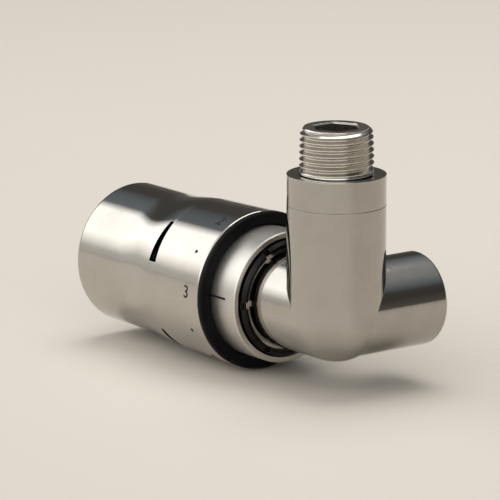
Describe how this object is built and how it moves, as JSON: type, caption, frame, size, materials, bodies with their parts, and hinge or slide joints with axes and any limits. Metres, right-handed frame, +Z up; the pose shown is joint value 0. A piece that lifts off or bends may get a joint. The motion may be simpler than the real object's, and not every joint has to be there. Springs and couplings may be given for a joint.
{
  "type": "thermostatic radiator valve",
  "caption": "Corner thermostatic radiator valve: smooth round chromed body with a long cylindrical turning head, slotted and numbered, over a sprung valve disc.",
  "frame": {"origin": "centre of the radiator port's face, where the tailpiece's thread starts, on the outlet's axis", "axes": "+Z up into the radiator along the tailpiece, -X along the thermostatic head towards its end cap, +Y along the inlet towards the wall"},
  "size_m": [0.111, 0.053, 0.076],
  "materials": {
    "body_chrome": "polished chrome plate on brass",
    "head_chrome": "polished chrome plate, lightly handled",
    "dark_nickel": "dark nickel plate",
    "nickel": "matt nickel plate on brass",
    "brass": "turned brass",
    "stainless": "ground stainless steel",
    "spring_steel": "drawn spring wire",
    "rubber": "matt moulded rubber",
    "black_plastic": "fine moulded texture",
    "dark_plastic": "glass-filled nylon",
    "white_plastic": "moulded acetal",
    "aluminium": "drawn aluminium",
    "bronze": "formed tin bronze"
  },
  "bodies": {
    "valve": {"valve_body": "body_chrome", "valve_insert": "brass", "insert_oring": "rubber", "gland_nut": "brass", "gland_oring": "rubber", "return_spring": "spring_steel", "radiator_union_nut": "body_chrome", "tailpiece": "nickel", "tailpiece_oring": "rubber", "head_base": "dark_plastic", "head_union_nut": "dark_nickel", "index_ring": "head_chrome"},
    "handwheel": {"handwheel": "head_chrome", "handwheel_liner": "black_plastic", "end_cap": "head_chrome"},
    "sensor": {"setting_nut": "white_plastic", "overload_spring": "spring_steel", "sensor_capsule": "aluminium", "bellows": "bronze", "push_pin": "white_plastic"},
    "stem": {"valve_stem": "stainless", "stem_pin": "stainless", "disc_holder": "brass", "seat_disc": "rubber"}
  },
  "joints": [
    {"name": "handwheel_turn", "type": "hinge", "parent": "valve", "child": "handwheel", "pos_m": [-0.06, 0, -0.04], "axis": [1, 0, 0], "range_deg": [-120, 180]},
    {"name": "sensor_slide", "type": "slide", "parent": "valve", "child": "sensor", "axis": [1, 0, 0], "range_m": [-0.0011, 0.00165]},
    {"name": "stem_slide", "type": "slide", "parent": "valve", "child": "stem", "axis": [1, 0, 0], "range_m": [-0.0011, 0.00165], "deforming": ["return_spring"]}
  ],
  "couplings": [
    {"joint": "sensor_slide", "follows": "handwheel_turn", "m_per_rad": 0.00052521},
    {"joint": "stem_slide", "follows": "handwheel_turn", "m_per_rad": 0.00052521}
  ]
}
